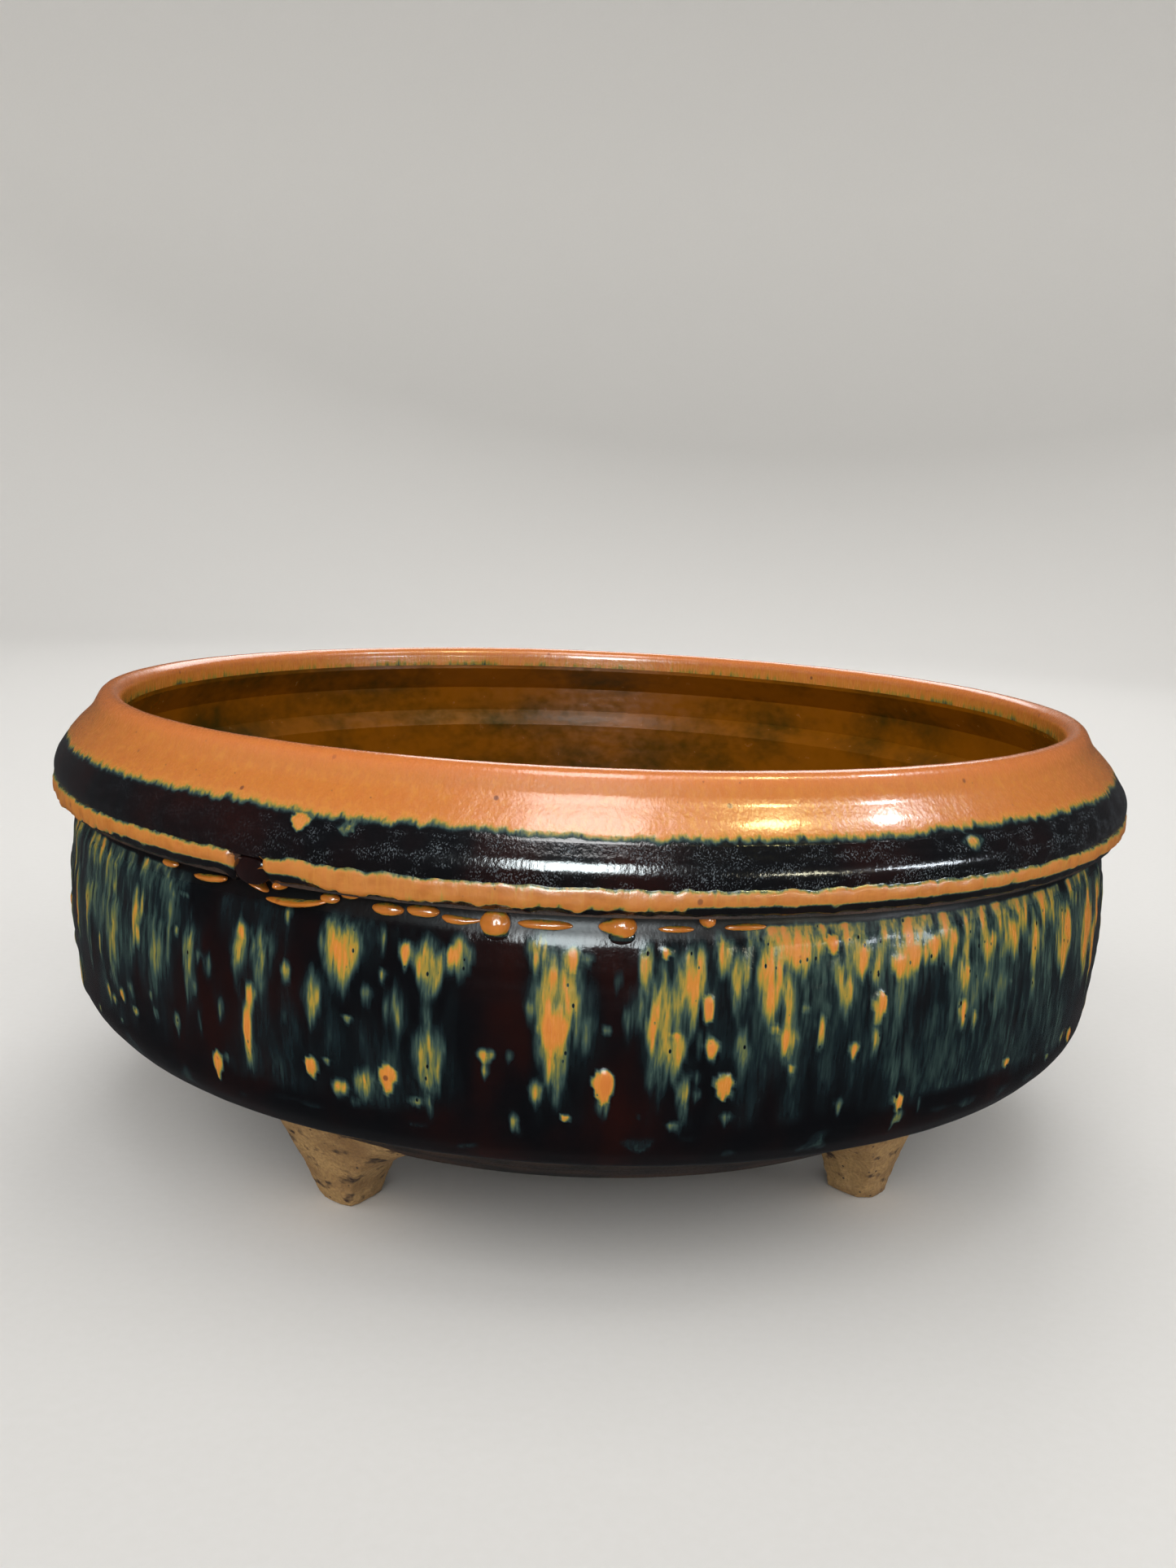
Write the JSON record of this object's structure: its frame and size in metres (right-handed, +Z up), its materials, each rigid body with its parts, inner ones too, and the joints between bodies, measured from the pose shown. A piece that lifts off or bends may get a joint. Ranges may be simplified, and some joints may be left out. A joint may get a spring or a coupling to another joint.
{
  "type": "bonsai pot",
  "caption": "Round low bonsai pot on small feet, with an inward-leaning shoulder over a raised belt, upright walls, a drained floor and thick running glazes.",
  "frame": {"origin": "middle of the pot's plan at the level of the feet's flat faces, on the surface that the pot stands on", "axes": "+Z up along the pot's axis of turning, -Y towards the front, where the belt's joint and the drops of glaze are, and +X to the right seen from the front"},
  "size_m": [0.19, 0.19, 0.0755],
  "materials": {
    "bare_clay": "unglazed buff stoneware with iron specks and a brown wash on the undercut",
    "orange_glaze": "glossy orange-rust iron glaze with fine streaks and dark specks",
    "black_glaze": "mirror-glossy blue-black iron glaze",
    "streaked_glaze": "glossy near-black glaze with fine vertical runs of ochre, olive and teal",
    "amber_glaze": "glossy amber-brown glaze inside"
  },
  "bodies": {
    "root": {"floor_slab": "bare_clay", "wall": "bare_clay", "shoulder_collar": "bare_clay", "belt_strip": "bare_clay", "foot_front_left": "bare_clay", "foot_front_right": "bare_clay", "foot_rear_left": "bare_clay", "foot_rear_right": "bare_clay", "rim_glaze": "orange_glaze", "belt_glaze": "orange_glaze", "glaze_beads": "orange_glaze", "shoulder_glaze": "black_glaze", "wall_glaze": "streaked_glaze", "interior_glaze": "amber_glaze"}
  },
  "joints": []
}
